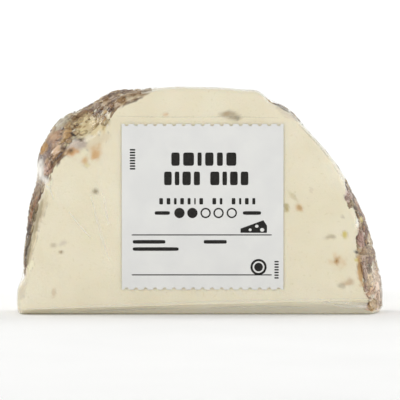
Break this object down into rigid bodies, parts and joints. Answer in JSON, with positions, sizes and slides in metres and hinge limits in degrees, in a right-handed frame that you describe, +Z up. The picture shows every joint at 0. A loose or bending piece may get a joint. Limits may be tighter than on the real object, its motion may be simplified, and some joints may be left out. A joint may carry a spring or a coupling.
{
  "type": "walnut cheese",
  "caption": "Slice across a half-round loaf of soft cream cheese with a walnut-coated rind, wrapped tight in clear film, with a square paper label on its cut face.",
  "frame": {"origin": "middle of the flat base that the slice stands on", "axes": "+X to the right along the cut face, +Y from the labelled cut face to the back, +Z up"},
  "size_m": [0.1232, 0.0256, 0.0766],
  "materials": {
    "paste": "soft, slightly translucent cream-coloured cheese paste with a satin cut face",
    "walnut": "broken walnut kernels with dull brown wrinkled skin and paler cream flesh where they are broken",
    "label": "smooth white coated paper, printed with plain dark shapes",
    "film": "clear glossy stretch film, drawn tight with fine wrinkles"
  },
  "bodies": {
    "root": {"wrapped_cheese": "paste", "walnut_01": "walnut", "walnut_02": "walnut", "walnut_03": "walnut", "walnut_04": "walnut", "walnut_05": "walnut", "walnut_06": "walnut", "walnut_07": "walnut", "walnut_08": "walnut", "walnut_09": "walnut", "walnut_10": "walnut", "walnut_11": "walnut", "walnut_12": "walnut", "walnut_13": "walnut", "walnut_14": "walnut", "walnut_15": "walnut", "walnut_16": "walnut", "walnut_17": "walnut", "walnut_18": "walnut", "walnut_19": "walnut", "walnut_20": "walnut", "walnut_21": "walnut", "walnut_22": "walnut", "walnut_23": "walnut", "walnut_24": "walnut", "walnut_25": "walnut", "walnut_26": "walnut", "walnut_27": "walnut", "walnut_28": "walnut", "price_label": "label"}
  },
  "joints": []
}
